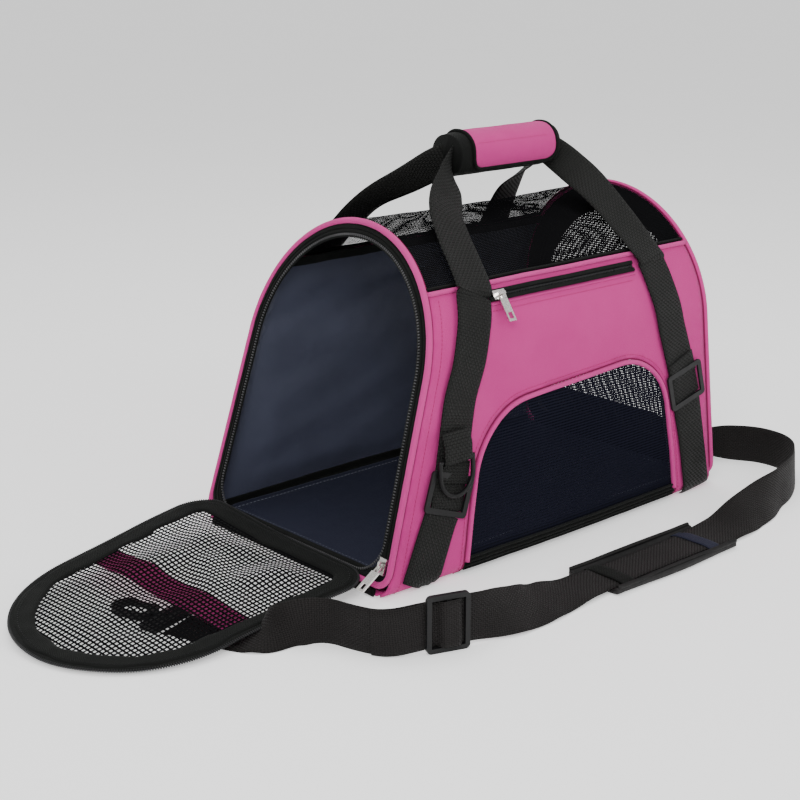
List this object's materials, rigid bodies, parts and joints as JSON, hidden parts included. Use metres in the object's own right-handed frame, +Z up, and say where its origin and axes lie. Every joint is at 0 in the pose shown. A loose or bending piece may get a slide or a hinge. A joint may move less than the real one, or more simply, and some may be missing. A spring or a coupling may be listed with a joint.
{
  "type": "pet carrier bag",
  "caption": "Soft-sided pet carrier with an arched mesh roof, zipped mesh end doors, a mesh side window, padded carry grip and a detachable shoulder strap.",
  "frame": {"origin": "centre of the flat base, on the floor", "axes": "+X along the bag from the open front door to the back door, +Y to the far side, +Z up"},
  "size_m": [0.7839, 0.4223, 0.352],
  "materials": {
    "pink_fabric": "woven polyester, matt",
    "pink_piping": "bound piping, slight sheen",
    "black_webbing": "ribbed polypropylene webbing",
    "black_mesh": "open mesh",
    "black_binding": "folded binding and tape",
    "navy_lining": "coated lining, semi-gloss",
    "zip_teeth": "moulded teeth on tape",
    "dark_plastic": "satin",
    "nickel": "plated, worn",
    "stiffener": "plain sheet",
    "spring_wire": "plain",
    "foam": "closed-cell foam",
    "pad_rubber": "ribbed, matt"
  },
  "bodies": {
    "bag": {"side_panel_near": "pink_fabric", "side_panel_far": "pink_fabric", "roof_hems": "pink_fabric", "grip_cover": "pink_fabric", "front_piping": "pink_piping", "back_piping": "pink_piping", "window_piping": "pink_piping", "handle_web_near": "black_webbing", "handle_web_far": "black_webbing", "anchor_webs_near": "black_webbing", "anchor_webs_far": "black_webbing", "strap_front": "black_webbing", "strap_middle": "black_webbing", "strap_back": "black_webbing", "d_ring_tab_front": "black_webbing", "d_ring_tab_back": "black_webbing", "roof_mesh": "black_mesh", "window_mesh": "black_mesh", "window_hem": "black_binding", "front_sill": "black_binding", "back_sill": "black_binding", "front_zip_tape": "black_binding", "back_zip_tape": "black_binding", "pocket_zip_tape": "black_binding", "side_lining_near": "navy_lining", "side_lining_far": "navy_lining", "floor_pad": "navy_lining", "pocket_bag": "navy_lining", "base_panel": "navy_lining", "web_rings": "dark_plastic", "strap_adjuster": "dark_plastic", "hook_body_front": "dark_plastic", "hook_body_back": "dark_plastic", "hook_eye_front": "dark_plastic", "hook_eye_back": "dark_plastic", "base_board": "stiffener", "arch_wires": "spring_wire", "grip_foam": "foam", "shoulder_pad": "pad_rubber"},
    "front_door": {"front_door_zip": "zip_teeth", "front_door_binding": "black_binding", "front_door_mesh": "black_mesh", "front_door_band": "pink_fabric"},
    "back_door": {"back_door_zip": "zip_teeth", "back_door_binding": "black_binding", "back_door_mesh": "black_mesh"},
    "front_slider": {"front_slider": "nickel"},
    "back_slider": {"back_slider": "nickel"},
    "pocket_slider": {"pocket_slider": "nickel"},
    "front_puller": {"front_puller": "nickel"},
    "back_puller": {"back_puller": "nickel"},
    "pocket_puller": {"pocket_puller": "nickel"},
    "d_ring_front": {"d_ring_front": "dark_plastic"},
    "d_ring_back": {"d_ring_back": "dark_plastic"},
    "hook_gate_front": {"hook_gate_front": "dark_plastic"},
    "hook_gate_back": {"hook_gate_back": "dark_plastic"}
  },
  "joints": [
    {"name": "front_door_fold", "type": "hinge", "parent": "bag", "child": "front_door", "pos_m": [-0.21161, -0.085, 0.0178], "axis": [-0.0523, 0.9986, 0], "range_deg": [0, 109.8]},
    {"name": "back_door_fold", "type": "hinge", "parent": "bag", "child": "back_door", "pos_m": [0.21543, 0, 0.0178], "axis": [0, 1, 0], "range_deg": [0, 60]},
    {"name": "pocket_zip", "type": "slide", "parent": "bag", "child": "pocket_slider", "axis": [1, 0, 0], "range_m": [0, 0.16]},
    {"name": "pocket_puller_flip", "type": "hinge", "parent": "pocket_slider", "child": "pocket_puller", "pos_m": [-0.065, -0.10543, 0.23147], "axis": [-1, 0, 0], "range_deg": [0, 150]},
    {"name": "front_door_zip_run", "type": "slide", "parent": "bag", "child": "front_slider", "axis": [0.2888, 0.0478, 0.9562], "range_m": [0, 0.125]},
    {"name": "front_puller_flip", "type": "hinge", "parent": "front_slider", "child": "front_puller", "pos_m": [-0.21113, -0.11651, 0.027], "axis": [0, 1, 0], "range_deg": [-40, 100]},
    {"name": "back_door_zip_run", "type": "slide", "parent": "bag", "child": "back_slider", "axis": [-0.0826, 0.0498, 0.9953], "range_m": [0, 0.12]},
    {"name": "back_puller_flip", "type": "hinge", "parent": "back_slider", "child": "back_puller", "pos_m": [0.21546, -0.11566, 0.044], "axis": [0, -1, 0], "range_deg": [0, 150]},
    {"name": "d_ring_front_swing", "type": "hinge", "parent": "bag", "child": "d_ring_front", "pos_m": [-0.1365, -0.12826, 0.10637], "axis": [-1, 0, 0], "range_deg": [0, 150]},
    {"name": "d_ring_back_swing", "type": "hinge", "parent": "bag", "child": "d_ring_back", "pos_m": [0.16, 0.12656, 0.14037], "axis": [1, 0, 0], "range_deg": [-6, 0]},
    {"name": "hook_gate_front_press", "type": "hinge", "parent": "bag", "child": "hook_gate_front", "pos_m": [-0.36525, -0.01285, 0.0042], "axis": [0, 0, 1], "range_deg": [0, 20], "stiffness_Nm_per_rad": 0.02},
    {"name": "hook_gate_back_press", "type": "hinge", "parent": "bag", "child": "hook_gate_back", "pos_m": [0.16, 0.16232, 0.10235], "axis": [1, 0, 0], "range_deg": [0, 20], "stiffness_Nm_per_rad": 0.02}
  ]
}
